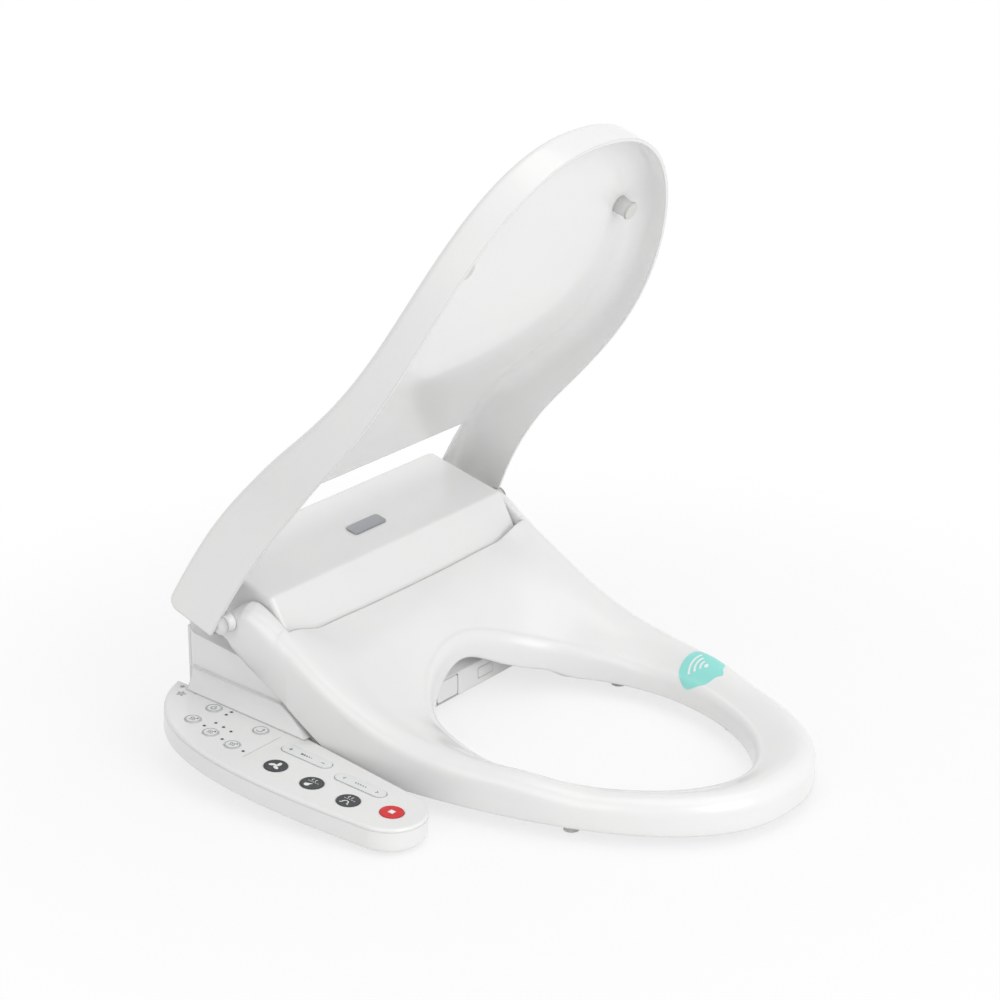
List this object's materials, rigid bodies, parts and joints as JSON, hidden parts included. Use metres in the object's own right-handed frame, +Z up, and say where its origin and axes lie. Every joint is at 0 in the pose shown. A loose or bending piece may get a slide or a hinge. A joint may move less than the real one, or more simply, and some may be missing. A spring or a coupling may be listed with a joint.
{
  "type": "electric bidet seat",
  "caption": "Electric bidet toilet seat with a hinged heated seat and deep lid, a rear housing with a sliding wash nozzle, and a side control wing with keys.",
  "frame": {"origin": "midway between the two mounting bolts, on the plane of the bowl's rim", "axes": "+Z up, -Y towards the seat's nose and the user's front, +X to the right seen from the front; the control wing is at -X"},
  "size_m": [0.4492, 0.51, 0.532],
  "materials": {
    "white_gloss": "gloss moulded",
    "white_satin": "satin moulded",
    "silver": "satin silver foil",
    "grey_plastic": "moulded",
    "soft_rubber": "moulded",
    "steel": "drawn",
    "black_plastic": "moulded",
    "brass": "turned",
    "tank_plastic": "moulded",
    "hose_rubber": "extruded",
    "zinc": "zinc plated",
    "carbon": "granular block",
    "circuit_board": "solder mask",
    "foil": "foil",
    "dark_key": "satin moulded",
    "red_key": "satin moulded",
    "light_lens": "clear moulded"
  },
  "bodies": {
    "housing": {"top_cover": "white_gloss", "base_tray": "white_gloss", "wing_case": "white_gloss", "wing_cover": "white_gloss", "badge_plate": "silver", "mounting_plate": "grey_plastic", "base_pads": "soft_rubber", "hinge_post_left": "grey_plastic", "hinge_post_right": "grey_plastic", "hinge_pin_left": "steel", "hinge_pin_right": "steel", "seat_damper": "black_plastic", "lid_damper": "black_plastic", "inlet_fitting": "brass", "inlet_filter": "steel", "inlet_valve": "black_plastic", "heater_tank": "tank_plastic", "tank_heater": "steel", "diverter_valve": "black_plastic", "cold_hose": "hose_rubber", "warm_hose": "hose_rubber", "nozzle_cradle": "grey_plastic", "nozzle_motor": "zinc", "blower_housing": "black_plastic", "blower_motor": "zinc", "dryer_heater": "steel", "deodoriser_case": "grey_plastic", "carbon_filter": "carbon", "main_board": "circuit_board", "power_module": "black_plastic", "cord_gland": "black_plastic", "case_screws": "steel", "wing_lights": "light_lens", "wing_board": "circuit_board", "tact_switches": "black_plastic"},
    "seat": {"seat_top": "white_gloss", "seat_bottom_cover": "white_satin", "seat_heater_foil": "foil", "seat_sensor": "circuit_board", "seat_pads": "soft_rubber"},
    "lid": {"lid_shell": "white_gloss", "lid_buffers": "soft_rubber"},
    "wand": {"nozzle_wand": "steel", "nozzle_tip": "white_satin", "nozzle_gate": "white_gloss"},
    "pinion": {"drive_pinion": "tank_plastic"},
    "impeller": {"blower_impeller": "tank_plastic"},
    "fan": {"deodoriser_fan": "tank_plastic"},
    "dry_key": {"dry_key": "dark_key"},
    "rear_wash_key": {"rear_wash_key": "dark_key"},
    "front_wash_key": {"front_wash_key": "dark_key"},
    "stop_key": {"stop_key": "red_key"},
    "power_key": {"power_key": "white_satin"},
    "water_heat_key": {"water_heat_key": "white_satin"},
    "seat_heat_key": {"seat_heat_key": "white_satin"},
    "air_heat_key": {"air_heat_key": "white_satin"},
    "deodorise_key": {"deodorise_key": "white_satin"},
    "position_rocker": {"position_rocker": "white_satin"},
    "pressure_rocker": {"pressure_rocker": "white_satin"}
  },
  "joints": [
    {"name": "lid_hinge", "type": "hinge", "parent": "housing", "child": "lid", "pos_m": [0, -0.025, 0.121], "axis": [-1, 0, 0], "range_deg": [-70, 30]},
    {"name": "seat_hinge", "type": "hinge", "parent": "housing", "child": "seat", "pos_m": [0, -0.025, 0.121], "axis": [-1, 0, 0], "range_deg": [0, 68]},
    {"name": "wand_slide", "type": "slide", "parent": "housing", "child": "wand", "axis": [0, -0.9397, -0.342], "range_m": [0, 0.05]},
    {"name": "pinion_spin", "type": "hinge", "parent": "housing", "child": "pinion", "pos_m": [0.0125, -0.04602, 0.05547], "axis": [1, 0, 0], "range_deg": [-383.5, 0]},
    {"name": "impeller_spin", "type": "hinge", "parent": "housing", "child": "impeller", "pos_m": [0.054, -0.008, 0.066], "axis": [1, 0, 0], "continuous": true},
    {"name": "fan_spin", "type": "hinge", "parent": "housing", "child": "fan", "pos_m": [-0.078, 0.019, 0.084], "axis": [0, 1, 0], "continuous": true},
    {"name": "dry_key_press", "type": "slide", "parent": "housing", "child": "dry_key", "axis": [0, 0.0767, -0.9971], "range_m": [0, 0.0008], "stiffness_N_per_m": 600},
    {"name": "rear_wash_key_press", "type": "slide", "parent": "housing", "child": "rear_wash_key", "axis": [0, 0.0767, -0.9971], "range_m": [0, 0.0008], "stiffness_N_per_m": 600},
    {"name": "front_wash_key_press", "type": "slide", "parent": "housing", "child": "front_wash_key", "axis": [0, 0.0767, -0.9971], "range_m": [0, 0.0008], "stiffness_N_per_m": 600},
    {"name": "stop_key_press", "type": "slide", "parent": "housing", "child": "stop_key", "axis": [0, 0.0767, -0.9971], "range_m": [0, 0.0008], "stiffness_N_per_m": 600},
    {"name": "power_key_press", "type": "slide", "parent": "housing", "child": "power_key", "axis": [0, 0.0767, -0.9971], "range_m": [0, 0.0008], "stiffness_N_per_m": 600},
    {"name": "water_heat_key_press", "type": "slide", "parent": "housing", "child": "water_heat_key", "axis": [0, 0.0767, -0.9971], "range_m": [0, 0.0008], "stiffness_N_per_m": 600},
    {"name": "seat_heat_key_press", "type": "slide", "parent": "housing", "child": "seat_heat_key", "axis": [0, 0.0767, -0.9971], "range_m": [0, 0.0008], "stiffness_N_per_m": 600},
    {"name": "air_heat_key_press", "type": "slide", "parent": "housing", "child": "air_heat_key", "axis": [0, 0.0767, -0.9971], "range_m": [0, 0.0008], "stiffness_N_per_m": 600},
    {"name": "deodorise_key_press", "type": "slide", "parent": "housing", "child": "deodorise_key", "axis": [0, 0.0767, -0.9971], "range_m": [0, 0.0008], "stiffness_N_per_m": 600},
    {"name": "position_rocker_tilt", "type": "hinge", "parent": "housing", "child": "position_rocker", "pos_m": [-0.1975, -0.12379, 0.03213], "axis": [1, 0, 0], "range_deg": [-2.5, 2.5], "stiffness_Nm_per_rad": 0.3},
    {"name": "pressure_rocker_tilt", "type": "hinge", "parent": "housing", "child": "pressure_rocker", "pos_m": [-0.204, -0.18561, 0.02737], "axis": [1, 0, 0], "range_deg": [-2.5, 2.5], "stiffness_Nm_per_rad": 0.3}
  ],
  "couplings": [
    {"joint": "pinion_spin", "follows": "wand_slide", "rad_per_m": -133.33}
  ]
}
